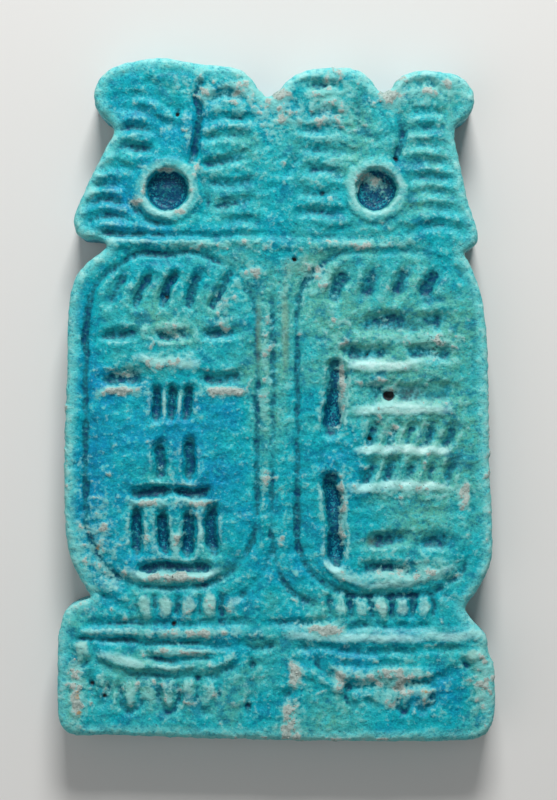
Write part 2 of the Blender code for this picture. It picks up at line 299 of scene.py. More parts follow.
FINISH_COATS = (
    ("mottle", 0.47, 0.34, 0.7, DARK_GLAZE),
    ("mottle", 0.53, 0.66, 0.55, BRIGHT_GLAZE),
    ("blotch", 0.46, 0.33, 0.6, SHADED_GLAZE),
    ("blotch", 0.55, 0.7, 0.6, BRIGHT_GLAZE),
    # Paler outline edge: thinned glaze and a painted highlight
    ("edge", 0.1, 0.8, 0.8, EDGE_GLAZE_AND_HIGHLIGHT),
    ("fleck", 0.46, 0.32, 0.55, DARK_GLAZE),
    ("fleck", 0.6, 0.76, 0.4, PALE_GLAZE),
    ("grain", 0.46, 0.32, 0.45, DARK_GLAZE),
    ("grain", 0.55, 0.7, 0.45, BRIGHT_GLAZE),
    # Pale bars: pale glaze, and a painted highlight on slopes facing the key light
    ("bar_pale_and_highlight", 0.15, 1.2, 0.85, "whiteness"),
    ("rim_film", 0.2, 1.0, 0.6, EDGE_GLAZE_AND_HIGHLIGHT),
    # Pale knobs: pale crust, and a painted highlight on slopes facing the key light
    ("knob_pale_and_highlight", 0.25, 0.9, 0.75, PALE_KNOB_AND_HIGHLIGHT),
    ("pooling", 0.3, 0.9, 0.95, "depth"),
    ("glint", 0.38, 0.62, 0.35, BRIGHT_GLAZE),
    ("film", 0.48, 0.68, 0.55, CRUST_FILM),
    ("earth_film", 0.1, 0.6, 0.45, EARTH_BROWN),
    # Pale lips: worn glaze, and a painted highlight on slopes facing the key light
    ("lip", 0.1, 0.42, 0.6, PALE_LIP_AND_HIGHLIGHT),
    ("scab", *SCAB_HALO, 0.6, CRUST_HALO),
    ("scab", *SCAB_EDGE, 0.85, "shade"),
    ("pore", -0.31, -0.25, 0.75, PORE_BROWN),
    ("pinholes", 0.2, 0.5, 0.85, PINHOLE_BROWN),
    ("stain", 0.6, 1.0, 0.8, RUST_BROWN),
)
GLAZE_ROUGHNESS = 0.4
CRUST_ROUGHNESS = 0.9
GLAZE_SPECULAR = 0.14
BUMP_DISTANCE = 0.1

# Stage: the floor's half size in metres, its gap under the plaque and its roughness, the
# softboxes (name, place, size in metres, power in watts) and the light from all round
FLOOR_HALF = 1.5
FLOOR_GAP = 0.02
FLOOR_ROUGHNESS = 0.9
SOFTBOXES = (
    ("key", (0.03, 0.47, 0.32), 0.2, 3.9),
    ("fill", (-0.3, -0.1, 0.5), 0.5, 0.6),
)
SKY_GREY = "f2f4f6"
SKY_STRENGTH = 0.24

# Routes of the lines on the plumes
LEFT_BARBS = (
    ((-23.8, 39.8), (-22.3, 40.6), (-20.4, 40.8), (-18.1, 40.2)),
    ((-24.9, 37.2), (-23.1, 38.1), (-20.7, 37.6), (-18, 37.5)),
    ((-26.1, 34.4), (-24.3, 35.1), (-21.9, 34.6)),
    ((-27.1, 31.8), (-25.2, 32.5), (-22.9, 32.1)),
    ((-28.2, 29.1), (-25.8, 30), (-22.6, 29.4)),
    ((-28.5, 26.7), (-25.8, 27.6), (-21.9, 26.8)),
    ((-26.1, 24.9), (-23.4, 24.9), (-20.4, 24.8)),
    ((-9.6, 45), (-7.6, 45.8), (-5.2, 45.3)),
    ((-10.5, 42.1), (-7.5, 42.1), (-3.9, 42)),
    ((-10.5, 39.1), (-7.6, 39.8), (-4.6, 39.1)),
    ((-10.8, 35.1), (-7.8, 35.7), (-4.2, 36.6)),
    ((-10.5, 32.4), (-7.2, 32.2), (-3.6, 32.9)),
    ((-9, 28.9), (-6.6, 29.5), (-3.9, 30)),
    ((-7.5, 26.7), (-5.4, 26.8), (-3, 26.7)),
)
RIGHT_BARBS = (
    ((4.2, 46.9), (6.6, 47.2), (9.2, 46.9)),
    ((3.8, 46), (3, 44.5), (3.1, 42.9)),
    ((4.2, 42.3), (6.3, 42.9), (8.4, 42.9), (10.5, 42.1)),
    ((4, 40.4), (7.5, 40.4), (11.1, 40.2)),
    ((4.5, 37.4), (8.1, 37.5), (11.4, 36.9)),
    ((4.3, 34.2), (6.9, 34.4), (9.9, 33.6)),
    ((3.6, 31), (6.6, 30.9), (9.9, 31.3)),
    ((3.6, 28.1), (6.9, 28.1), (10.5, 27.9)),
    ((6.9, 25.1), (9, 25.2), (11.1, 25.1)),
    ((3.8, 38.5), (3.1, 36.4), (1.9, 33.9)),
    ((12.8, 46), (12.3, 43), (12.9, 39.6)),
    ((19.8, 46.9), (22.2, 47.4), (24.9, 46.9)),
    ((20.4, 43), (22.8, 43), (24.6, 42.9)),
    ((19.8, 40.5), (22.8, 40.8), (24.6, 40.6)),
    ((19.8, 37.9), (22.8, 38.4), (25.2, 37.9)),
    ((19.8, 35.5), (22.8, 35.7), (25.8, 35.4)),
    ((19.8, 33), (22.8, 33.4), (26.1, 32.9)),
    ((20.7, 30.6), (23.1, 30.9), (27, 30.4)),
    ((20.4, 28.3), (23.1, 28.9), (27.6, 28.2)),
    ((18.6, 25.2), (20.7, 25.2), (24.6, 26.2), (28.5, 25.1)),
)
LEFT_HEAD = (
    ((-23.4, 45.3), (-21.1, 45.4), (-19.2, 45)),
    ((-23.7, 43.8), (-21.6, 43.9), (-18.9, 43)),
    ((-18.9, 42.1), (-16.9, 41.2), (-14.7, 40.9)),
    ((-17.4, 40), (-17.6, 38.5), (-17.7, 37)),
    ((-15, 44.2), (-14.8, 43.4), (-14.8, 42.4)),
)
SHAFTS = (
    ((-11.4, 47.2), (-12, 45.1), (-11.5, 43.4), (-11.8, 40.4), (-12.2, 37.6), (-12.6, 35.9)),
    ((18.4, 42.4), (18.8, 39.1), (18.1, 35.9)),
)
DISC_HOLLOWS = (
    ((-22.5, 32.5), (-22.1, 30.1), (-20.7, 27.9), (-18.6, 26.6), (-15.6, 25.9)),
    ((-11.1, 33.4), (-10.2, 30.4), (-10.7, 27.9)),
)
LEFT_FOOT = (
    ((-25.8, 24.8), (-18.9, 24.6), (-10.7, 24.4), (-2.4, 24.6)),
)
RIGHT_FOOT = (
    ((-2.4, 24.6), (8.1, 24.1), (18.6, 24.4), (24.3, 24.1)),
)

# Routes of the lines between the rings, beside the ties and on the base block
MIDDLE_LINES = (
    (
        (-0.6, 19.6), (-0.6, 10.3), (-0.4, -0.1), (-0.6, -12.2), (-0.8, -19.6),
        (-0.6, -22.9), (-1.8, -25.6), (-3.6, -28.1), (-6, -30.1),
    ),
    ((-0.6, -22.9), (1.1, -27.4), (3.3, -29.5), (5.7, -30.6)),
    ((2.2, 14.8), (2.1, -0.1), (1.9, -15.1), (2.4, -21.1)),
)
SLANTED_TIES = (
    ((-27, -28.9), (-24.9, -30.3), (-23.1, -31.2), (-21.3, -32.1)),
    ((-25.8, -26.2), (-24, -27.4), (-22.2, -28.6)),
    ((24.6, -28.6), (26.4, -30.1), (27.9, -31.9)),
)
BASE_BANDS = (
    ((-28.5, -34), (-24.9, -33.6), (-15.4, -33.8), (-9.2, -33.6), (-4.5, -33.3)),
    ((-29.7, -36.3), (-25.6, -36), (-20.4, -36.4)),
    ((-20.4, -36.6), (-12.9, -36.9), (-6.1, -37.2)),
    ((-5.1, -36.8), (-2.7, -37.4), (0, -36.9)),
    ((-27.6, -36.8), (-27.3, -38.4), (-29.1, -40.2)),
    ((-19.2, -38.5), (-15.9, -39.3), (-11.7, -38.9), (-9.4, -38.5)),
    ((-1.2, -33.6), (3.6, -33.6), (7.5, -33.3)),
    ((10.3, -34.2), (14.1, -34), (18.6, -34.2), (23.1, -34.2)),
    ((3.3, -37.4), (8.1, -37.4), (11.8, -37.9), (17.8, -37.9), (23.1, -37.6), (27.3, -37.5)),
    ((9.6, -39.8), (13.3, -39.9), (18, -39.8)),
    ((28.5, -39.4), (29.1, -40.6), (30.4, -41.2)),
    ((6.3, -37.6), (6.1, -39.1), (6.3, -40.4)),
)
COLLARS = (
    (
        (-26.4, -39.3), (-24.6, -40.5), (-22.6, -41.2), (-20.1, -41.5), (-14.4, -41.4),
        (-10.7, -41.5), (-8.7, -41.2), (-6.3, -39.8), (-5.2, -37.6),
    ),
    (
        (6.3, -39.6), (8.4, -41.7), (10.8, -42.8), (13.3, -42.9), (16.8, -43.4),
        (20.4, -42.9), (23.1, -42.4), (25.3, -41.5), (27.3, -40.6), (28.6, -39.6),
    ),
)
PENDANTS = (
    ((-27.9, -41.4), (-27.6, -44), (-26.4, -45.6), (-25.1, -44.6), (-24.9, -42.6)),
    ((-23.2, -42.8), (-23.2, -45.8), (-21.8, -46.9), (-20.4, -45.8), (-20.6, -43.9)),
    ((-17.8, -42.8), (-17.6, -45.3), (-16.2, -47.1), (-14.8, -45.8), (-14.7, -42.4)),
    ((-11.7, -42.1), (-11.8, -45.8), (-10.5, -46.9), (-8.8, -45.9), (-8.5, -42.4)),
    ((-3.8, -38.4), (-3.6, -40.4), (-3.6, -43.6), (-4.2, -46), (-4.2, -47.7)),
    ((10.7, -43.6), (10.7, -45.4), (11.8, -46)),
    ((13.8, -45.4), (14.8, -46.2)),
    ((18, -43.9), (18.3, -46.2), (19.3, -46.9), (20.2, -45.8)),
    ((23.6, -43.6), (23.4, -45.8), (22.2, -46.8), (21.1, -45.6)),
    ((1.2, -45.3), (2.1, -43.9)),
)

# Routes of the raised bars and ridges
BARS = (
    ((11.2, 4.9), (16, 4.7), (20.8, 5)),
    ((11.8, -1.9), (18, -1.7), (26.4, -1.9)),
    ((12, -7.9), (17, -7.6), (22, -7.8), (27, -8.2)),
    ((11.2, -13.6), (16, -13.2), (21, -13), (25.6, -13.5)),
    ((-20.8, 6.1), (-17.4, 5.3), (-11.6, 5.1)),
    ((-22.2, -25.8), (-18.9, -26.9), (-15.2, -27.2), (-11.4, -26.9), (-8.1, -25.6)),
    ((7.7, -25), (10.7, -27), (14.1, -28), (19.4, -27.7), (23.9, -26.6), (26.9, -25)),
    ((1.5, -35.5), (9.6, -35.9), (18.6, -36), (26.1, -35.7), (31.2, -35.5)),
    ((-26.6, -38.3), (-23.6, -39.4), (-20.2, -40.2)),
)
RIDGES = (
    ((-29.7, -34.9), (-24.9, -34.9), (-15.9, -35.1), (-4.6, -35.2), (-0.6, -35.5)),
    ((-25.8, -38.4), (-21.9, -39.8), (-17.4, -40.5), (-11.4, -40.5), (-7.6, -39.6), (-5, -37.9)),
    ((-18.9, -37.8), (-14.4, -37.8), (-9.6, -37.9)),
    ((10.3, -41.5), (14.4, -41.2), (18.6, -40.9), (22.8, -41.4)),
    ((4, -40.9), (6.3, -41.5), (8.4, -43.2)),
    ((-24.9, 23.4), (-18.9, 23.7), (-11.4, 23.4), (-2.1, 23.4), (8.1, 22.9), (18.6, 22.9)),
    ((-19.6, 44.4), (-17.7, 43.6), (-15.9, 42.3)),
    ((-18.9, 49.2), (-17.7, 48.1), (-15.6, 47.7)),
    ((-13.8, 42.4), (-13.5, 40), (-13.8, 37.4)),
    ((12.6, 33.1), (14.1, 33.6), (15.6, 33.4)),
)

# Raised knobs: place, half size across and up, rise
KNOBS = (
    (-29.1, -37.5, 1.3, 1.3, 0.35),
    (29.7, -38.5, 1.6, 1.2, 0.35),
    (-19.6, -31, 1.2, 2.1, 0.3),
    (-16.5, -31, 1.3, 2.1, 0.35),
    (-13, -31, 1.3, 2.1, 0.35),
    (-9.9, -30.9, 1.3, 2.2, 0.35),
    (-6.3, -30.8, 1.3, 2.1, 0.25),
    (9.8, -31.5, 1.3, 1.8, 0.25),
    (12.8, -31.6, 1.2, 1.8, 0.25),
    (15.9, -31.5, 1.2, 1.6, 0.35),
    (19.1, -31.5, 1.2, 1.8, 0.3),
    (22.2, -31.3, 1.2, 1.9, 0.3),
    (-24.6, -28.1, 3, 1.3, 0.2),
    (-21.9, -44.2, 1.1, 1.9, 0.25),
    (-19.2, -43.9, 1.1, 1.6, 0.2),
    (-16.2, -44.2, 1.1, 1.9, 0.25),
    (-13.3, -44.1, 1.1, 1.9, 0.25),
    (-10, -44.2, 1.2, 1.9, 0.25),
    (-26.1, -42.1, 1.1, 1.5, 0.25),
    (9.3, -43.5, 1.1, 1.2, 0.3),
    (16.8, -45, 0.8, 1.3, 0.25),
    (19.3, -44.9, 0.9, 1.3, 0.25),
    (22.3, -44.1, 0.9, 1.2, 0.3),
    (16.1, -40.9, 1.1, 0.6, 0.2),
    (19.1, -40.8, 0.9, 0.6, 0.2),
    (21.3, -40.9, 0.9, 0.6, 0.2),
)

# Soft-edged patches of the face: place, half size across and up, strength
BLUE_PATCHES = (
    (-17.4, 40.6, 4.5, 3.6, 0.5),
    (-24.9, 43.4, 5.4, 6, 0.25),
    (-23.4, 29.8, 6.8, 3.9, 0.4),
    (-18.1, 25.1, 7.5, 1.5, 0.6),
    (-25.6, -4.6, 5.4, 10.5, 0.65),
    (-8.4, -7.6, 5.1, 10.5, 0.35),
    (-27.9, -15.1, 3.8, 9, 0.45),
    (-15.1, -3.1, 6, 6, 0.35),
    (-28.5, 10.5, 2.2, 9, 0.65),
    (-0.1, -25.6, 4.2, 4.5, 0.3),
    (-3.9, -18.1, 2.7, 7.5, 0.35),
    (8.3, -10.1, 3, 12, 0.4),
    (10.6, -22.1, 3.9, 5, 0.35),
    (24.6, -43.6, 6, 3.9, 0.35),
    (8.1, -38.4, 7.5, 2.1, 0.2),
    (-0.9, 37.4, 3.6, 6, 0.3),
    (-26.4, -36.1, 9, 1.5, 0.3),
)
GREEN_PATCHES = (
    (-15.9, 10.3, 10.5, 7.5, 0.55),
    (-6.1, 32.9, 5.4, 9, 0.25),
    (17.1, 40.4, 12, 9, 0.45),
    (18.6, 28.3, 12, 6, 0.35),
    (5.6, 14.3, 4.5, 7.5, 0.6),
    (19.3, 9.3, 12, 10.5, 0.9),
    (23.8, -7.6, 8.4, 12, 0.95),
    (-1.5, 6.8, 3.3, 14, 0.55),
    (-18.9, -43.6, 12, 6, 0.45),
    (8.1, -48.4, 10.5, 2.7, 0.4),
    (-30.1, -31.9, 4.5, 2.4, 0.5),
    (30.6, -43.6, 2.4, 6.8, 0.5),
    (17.1, -27.9, 10.5, 3, 0.3),
    (16.1, -21.1, 4.5, 1.8, 0.6),
    (-30.6, -42.1, 1.8, 7.5, 0.6),
)
CRUST_PATCHES = (
    (-5.4, 46.2, 2.6, 1.8, 0.5),
    (-10.3, 45.6, 1.5, 2.1, 0.5),
    (0.6, 43, 3.3, 2.7, 0.5),
    (7.8, 44.9, 3.3, 5.4, 0.5),
    (17.1, 45.1, 1.8, 1.5, 0.8),
    (23.8, 46.6, 6, 2.4, 0.55),
    (13.8, 32.9, 2.4, 1.2, 0.7),
    (-16.6, 34.3, 1.3, 0.5, 0.9),
    (-19.9, 31.7, 0.4, 1.4, 0.8),
    (-12.7, 31.6, 0.4, 1.3, 0.7),
    (-14.6, 28.1, 1.8, 0.5, 0.9),
    (-11.9, 34.5, 0.9, 0.8, 0.8),
    (-11, 32.8, 0.7, 0.8, 0.6),
    (-21, 29.7, 0.8, 0.8, 0.7),
    (-20, 34.8, 0.8, 0.5, 0.6),
    (-9.2, 23.1, 7.5, 0.8, 0.38),
    (13.3, 23.4, 7.5, 0.9, 0.5),
    (-4.6, 18.1, 3.3, 3.3, 0.35),
    (6.3, 18.6, 3.9, 3.6, 0.4),
    (-8.1, 12.6, 1.5, 2.7, 0.5),
    (-15.6, 10.3, 4.8, 2.4, 0.45),
    (-16.6, 5.5, 5.1, 1.2, 0.6),
    (-23.1, 1.3, 3.6, 0.8, 0.9),
    (-7.6, 1.2, 3.6, 0.9, 0.9),
    (-22.3, 3.8, 2.1, 0.9, 0.6),
    (-1.5, 6.6, 0.8, 6, 0.4),
    (1.3, 14.8, 0.9, 5.1, 0.3),
    (-2.1, -2.4, 1.2, 2.7, 0.4),
    (-1.8, -12.2, 0.9, 2.4, 0.5),
    (-18.9, -15.6, 2.7, 0.8, 0.7),
    (-12.2, -15.6, 3, 0.9, 0.7),
    (-19.6, -20.8, 1.1, 1.5, 0.5),
    (-15.6, -21.6, 1.8, 1.2, 0.5),
    (-15.6, -26.7, 6.9, 0.8, 0.9),
    (-26.4, -21.9, 4.2, 7.5, 0.35),
    (-14.4, -31, 9, 2.1, 0.3),
    (7.3, -34.4, 3.3, 1.2, 0.9),
    (-12.2, -35.1, 7.6, 0.7, 0.75),
    (-14.6, -38, 5, 0.6, 0.6),
    (-17.4, -44.2, 10.5, 2.1, 0.3),
    (-30, -43.2, 1.1, 5.4, 1.1),
    (2.9, -41.1, 1, 2, 1.2),
    (2.1, -47.1, 1.3, 2, 1.2),
    (2.4, -49.6, 1.8, 1.2, 0.7),
    (20.8, 9.2, 9, 1.1, 0.25),
    (19.3, 4.2, 7.5, 0.9, 0.2),
    (21.6, -0.9, 9, 1.2, 0.2),
    (20.8, -8.1, 9, 1.2, 0.22),
    (20.8, -13.9, 8, 1.1, 0.42),
    (24.6, 7.6, 3, 2.2, 0.3),
    (28.4, -14.4, 1, 2, 0.9),
    (22.3, -25.1, 4.2, 1.8, 0.45),
    (9.3, -42.1, 1.2, 2.7, 0.5),
    (18.3, -43.4, 5.1, 2.7, 0.55),
    (30.9, -43.6, 1.8, 7.2, 0.6),
    (15.6, -41.4, 6, 0.8, 0.4),
    (-16.6, 46.9, 6, 2.1, 0.2),
    (8.8, 10.3, 3.3, 3, 0.3),
    (17.1, -26.4, 9, 0.9, 0.5),
    (12.6, -30.1, 9, 1.8, 0.25),
    (9.9, 2, 0.6, 4.5, 0.9),
    (9.9, -17, 0.6, 6, 0.8),
    (19, -2, 11, 16, 0.14),
    (14, 2.2, 5, 1, 0.25),
    (17, -4.2, 7, 1.2, 0.2),
    (14, 38, 15, 12, 0.14),
    (-6, 42, 6, 9, 0.14),
    (-14, -42, 15, 7, 0.12),
    (18, -42, 14, 6, 0.1),
    (-1, 0, 4, 30, 0.08),
    (-0.2, 45.4, 2.4, 1.2, 0.45),
    (-28, -20, 3, 12, 0.12),
    (-32.1, -4, 0.7, 20, 0.42),
    (32.1, -6, 0.7, 18, 0.42),
    (2, -51, 26, 0.6, 0.4),
)
WORN_PATCHES = (
    (30.2, -2, 3.2, 26, 0.6),
    (-2.2, 2, 3.6, 20, 0.2),
    (24.5, -18, 6, 7, 0.3),
    (-2, 42, 6, 8, 0.25),
    (20, 24.6, 9, 2, 0.3),
    (-6, 20, 6, 5, 0.45),
    (18, 21.4, 12, 3, 0.5),
    (-15, -28.6, 9, 2, 0.25),
)
PORE_PATCHES = (
    (24.2, 8.1, 2, 2.2, 1),
    (25.2, 16.8, 2.2, 2, 0.7),
    (-16.5, 9.5, 3.6, 2, 0.6),
    (-15, 1, 2, 1.5, 0.5),
    (20, -12, 7, 4, 0.35),
    (-18, -43, 8, 3, 0.4),
    (1.5, 19, 4, 2, 0.5),
)
EARTH_PATCHES = (
    (-2.6, 10, 0.8, 9, 0.7),
    (1.4, 10, 0.9, 9, 0.8),
    (3.6, 20, 3, 2.4, 0.6),
    (-6, 21, 3, 1.5, 0.5),
    (12, 21.6, 6, 1.2, 0.4),
    (18.5, 12, 6, 3, 0.35),
    (20, 1, 6, 2.4, 0.5),
    (14.2, -21.5, 1.8, 1.5, 0.6),
    (-14.4, -40.2, 6, 1.6, 0.5),
    (-14.4, -44.2, 6, 2, 0.35),
    (-18, -30.6, 9, 2.4, 0.35),
    (15, 32, 4.5, 4, 0.35),
    (8, 44, 4, 2.4, 0.35),
)
RUST_PATCHES = (
    (-26.8, -22.4, 0.5, 0.5, 0.9),
    (-29.8, -44.4, 0.6, 1.2, 0.8),
    (-29.5, -47.2, 0.5, 0.8, 0.9),
    (22.4, -43.9, 0.8, 0.5, 0.8),
    (24.2, -41.3, 0.5, 0.4, 0.6),
    (22.3, 46.6, 0.9, 0.5, 0.4),
)

# Pinholes: place, radius, depth
PINHOLES = (
    (16.9, 0.4, 0.8, 1.2),
    (14.1, -6, 0.4, 0.6),
    (13.7, 6.6, 0.3, 0.5),
    (2.9, 20.8, 0.4, 0.8),
    (-14.8, 42.6, 0.4, 0.7),
    (18, 36.1, 0.4, 0.6),
    (-15.4, -33.8, 0.4, 0.6),
    (-16.5, 15.3, 0.4, 0.6),
    (6.9, 30.8, 0.4, 0.4),
    (-4.2, -46, 0.5, 0.3),
    (-27.6, -42.6, 0.4, 0.5),
    (-25.8, -44.5, 0.4, 0.5),
    (-3.6, -39.9, 0.5, 0.25),
)

# Rings round the two fields: left, right, low, high as shares of the fields' zone, and the
# size of their corners across and up
RINGS = (
    (-0.887, -0.088, 0.048, 0.988, 10.5, 11),
    (0.098, 0.921, 0.026, 0.992, 9.5, 9),
)

# Grooves between the ties: first place, pitch and count, as shares of the fields' zone
TIES = (
    (-0.66, 0.101, 5),
    (0.25, 0.096, 6),
)
TIE_TOP = -29.9
TIE_FOOT = -32.9

# Strokes in rows: height, first and last place across, count, half run and half rise of a
# stroke, as shares of the fields' zone, then the share of the full depth, and the width
STROKES = (
    (0.885, -0.744, -0.26, 5, 0.03, 0.04, 0.9, 1.9),
    (0.761, -0.72, -0.25, 3, 0.07, 0.0, 0.75, 2.0),
    (0.638, -0.702, -0.251, 2, 0.088, 0.0, 1.15, 2.2),
    (0.567, -0.556, -0.412, 3, 0.0, 0.036, 1.15, 1.8),
    (0.407, -0.54, -0.409, 2, 0.0, 0.045, 1.3, 2.0),
    (0.317, -0.577, -0.386, 2, 0.07, 0.0, 1.35, 2.0),
    (0.205, -0.647, -0.293, 4, 0.0, 0.055, 1.35, 2.0),
    (0.107, -0.467, -0.467, 1, 0.14, 0.0, 1.35, 2.0),
    (0.904, 0.3, 0.72, 4, 0.03, 0.035, 0.9, 2.3),
    (0.795, 0.586, 0.586, 1, 0.186, 0.0, 0.8, 2.9),
    (0.711, 0.42, 0.72, 2, 0.08, 0.0, 0.8, 2.6),
    (0.596, 0.62, 0.62, 1, 0.19, 0.0, 0.85, 2.9),
    (0.472, 0.447, 0.8, 5, 0.02, 0.025, 0.8, 2.0),
    (0.371, 0.43, 0.82, 5, 0.02, 0.025, 0.8, 2.0),
    (0.18, 0.52, 0.74, 2, 0.07, 0.0, 1.1, 2.3),
    (0.101, 0.51, 0.51, 1, 0.11, 0.0, 0.9, 2.2),
)
SLOTS = (
    (0.579, 0.27, 0.27, 1, 0.01, 0.085, 1.0, 2.6),
    (0.239, 0.27, 0.27, 1, -0.015, 0.112, 1.0, 2.6),
)

# How the rows are cut: the rows, their kind, the seed of the hand, the run in at both ends, lip
ROWED_CUTS = (
    (STROKES, "strokes", 8, 0.8, 0.6),
    (SLOTS, "slots", 9, 0.9, 0.35),
)

# How the routes are drawn: the routes, their kind, width, share of the full depth or rise, lip
DRAWN_LINES = (
    (LEFT_BARBS, "barbs", BARB_WIDTH, 1.0, 0.7),
    (RIGHT_BARBS, "barbs", BARB_WIDTH, 0.85, 0.6),
    (LEFT_HEAD, "barbs", BARB_WIDTH, 0.65, 0.4),
    (DISC_HOLLOWS, "barbs", BARB_WIDTH, 0.9, 0.0),
    (SHAFTS, "shafts", SHAFT_WIDTH, 1.0, 0.0),
    (LEFT_FOOT, "bands", BAND_WIDTH, 1.0, 0.0),
    (RIGHT_FOOT, "bands", BAND_WIDTH, 0.5, 0.0),
    (SLANTED_TIES, "ties", TIE_WIDTH, 0.6, 0.0),
    (BASE_BANDS, "bands", BAND_WIDTH, 0.85, 0.0),
    (COLLARS, "collars", COLLAR_WIDTH, 1.0, 0.3),
    (PENDANTS, "pendants", PENDANT_WIDTH, 1.0, 0.0),
    (RIDGES, "ridges", RIDGE_WIDTH, 1.0, 0.0),
    (BARS, "bars", BAR_WIDTH, 1.0, 0.0),
    (BARS, "bars", BAR_SHOULDER, BAR_SHOULDER_RISE, 0.0),
)

# The patches that the finish reads by name
FACE_PATCHES = {
    "crust": CRUST_PATCHES,
    "rust": RUST_PATCHES,
    "pores": PORE_PATCHES,
    "earth": EARTH_PATCHES,
}


def at(zone, across, up):
    """The place at these shares of a zone's half width and height."""
    bottom, height, half = ZONES[zone]
    return (across * half, bottom + up * height)


def waves(points, size, seed):
    """Smooth waves of about this size over the points, mostly between -1 and 1."""
    draw = random.Random(seed)
    total = np.zeros(len(points))
    for _ in range(WAVE_COUNT):
        angle = draw.uniform(0, math.tau)
        length = size * draw.uniform(*WAVE_LENGTHS)
        way = np.array((math.cos(angle), math.sin(angle))) * math.tau / length
        total += np.sin(points @ way + draw.uniform(0, math.tau))
    return total / math.sqrt(WAVE_COUNT)


def step(low, high, value):
    """Rises smoothly from 0 at low to 1 at high."""
    share = np.clip((value - low) / (high - low), 0, 1)
    return share * share * (3 - 2 * share)


def curved(route):
    """A smooth curve through a route's points."""
    points = np.array(route, float)
    points = np.vstack([2 * points[0] - points[1], points, 2 * points[-1] - points[-2]])
    share = np.linspace(0, 1, CURVE_STEPS, endpoint=False)[:, None]
    spans = [
        0.5 * (
            2 * b + (c - a) * share
            + (2 * a - 5 * b + 4 * c - d) * share**2
            + (3 * b - 3 * c + d - a) * share**3
        )
        for a, b, c, d in zip(points, points[1:], points[2:], points[3:])
    ]
    return np.vstack([*spans, points[-2]])


def close_to(points, route, reach):
    """The points within reach of a route: numbers, distances, run along it, then its length."""
    route = np.array(route, float)
    low = route.min(0) - reach
    high = route.max(0) + reach
    near = np.nonzero(((points > low) & (points < high)).all(1))[0]
    places = points[near]
    best = np.full(len(near), np.inf)
    run = np.zeros(len(near))
    before = 0
    for start, end in zip(route, route[1:]):
        length = np.hypot(*(end - start))
        share = np.clip((places - start) @ (end - start) / length**2, 0, 1)
        gap = np.hypot(*(places - start - share[:, None] * (end - start)).T)
        closer = gap < best
        best[closer] = gap[closer]
        run[closer] = (before + share * length)[closer]
        before += length
    kept = best < reach
    return near[kept], best[kept], run[kept], before


class Carving:
    """The face's points, and each kind of carving there as a share of its full depth or rise."""

    def __init__(self, points):
        self.points = points + np.column_stack([
            HAND_WOBBLE * waves(points, HAND_WOBBLE_SIZE, seed) for seed in HAND_SEEDS
        ])
        self.wear = 1 + WEAR_VARIATION * waves(points, WEAR_SIZE, WEAR_SEED)
        self.wear *= 1 - patches(points, WORN_PATCHES)
        self.layers = {name: np.zeros(len(points)) for name in (*SUNK, *RAISED)}

    def raise_to(self, layer, near, amount):
        values = self.layers[layer]
        values[near] = np.maximum(values[near], amount)

    def line(self, layer, route, width, strength=1.0, lead=None, lip=0.0, closed=False):
        """A line with a round section along a route, tapered within a lead at both ends."""
        lead = width if lead is None else lead
        half = width * HALF_SECTION
        near, gap, run, length = close_to(self.points, route, half * LIP_REACH)
        ends = 1.0 if closed else END_SHARE + (1 - END_SHARE) * step(
            -lead, lead, np.minimum(run, length - run)
        )
        section = np.clip(1 - (gap / half) ** 2, 0, 1) ** SECTION_POWER
        self.raise_to(layer, near, section * ends * strength * self.wear[near])
        if lip:
            bank = np.exp(-(((gap - half * LIP_PLACE) / (half * LIP_WIDTH)) ** 2))
            self.raise_to("lips", near, bank * ends * lip)

    def mound(self, layer, x, y, half_across, half_up, strength):
        """A low rounded mound or hollow."""
        offset = (self.points - (x, y)) / (half_across, half_up)
        near = np.nonzero((np.abs(offset) < MOUND_REACH).all(1))[0]
        gap = np.hypot(*offset[near].T)
        self.raise_to(layer, near, strength * (1 - step(MOUND_CREST, MOUND_FOOT, gap)))


def draw_lines(face):
    for routes, kind, width, strength, lip in DRAWN_LINES:
        for route in routes:
            face.line(kind, curved(route), width, strength=strength, lip=lip)


def carve_disc(face, x, y, crest, rim_width, floor_share):
    """A round pit with slanted walls inside a raised rim."""
    offset = face.points - (x, y)
    gap = np.hypot(*offset.T) * (1 + DISC_WOBBLE * waves(offset, crest, DISC_SEED))
    mouth = crest - rim_width * MOUTH_INSIDE
    rim = np.clip(1 - (2 * (gap - crest) / (rim_width * RIM_SPREAD)) ** 2, 0, 1)
    everywhere = slice(None)
    face.raise_to("rims", everywhere, rim)
    face.raise_to("pits", everywhere, 1 - step(mouth * floor_share, mouth * PIT_MOUTH, gap))


def rounded_frame(left, right, low, high, across, up):
    """A closed route round a field, with rounded corners of this size across and up."""
    route = []
    for turn, (x_side, y_side) in enumerate(((1, 1), (-1, 1), (-1, -1), (1, -1))):
        x = (right if x_side > 0 else left) - x_side * across
        y = (high if y_side > 0 else low) - y_side * up
        for i in range(CORNER_STEPS + 1):
            angle = math.pi / 2 * (turn + i / CORNER_STEPS)
            route.append((x + across * math.cos(angle), y + up * math.sin(angle)))
    return [*route, route[0]]


def carve_rings(face):
    for left, right, low, high, across, up in RINGS:
        x_low, y_low = at("fields", left, low)
        x_high, y_high = at("fields", right, high)
        route = rounded_frame(x_low, x_high, y_low, y_high, across, up)
        face.line("rings", route, RING_WIDTH, strength=RING_STRENGTH, closed=True)
        face.line("rings", route, RING_SHOULDER, strength=RING_SHOULDER_DEPTH, closed=True)
    for route, strength in zip(MIDDLE_LINES, MIDDLE_STRENGTHS):
        face.line("rings", curved(route), RING_WIDTH, strength=strength)
        face.line("rings", curved(route), RING_SHOULDER, strength=strength * RING_SHOULDER_DEPTH)


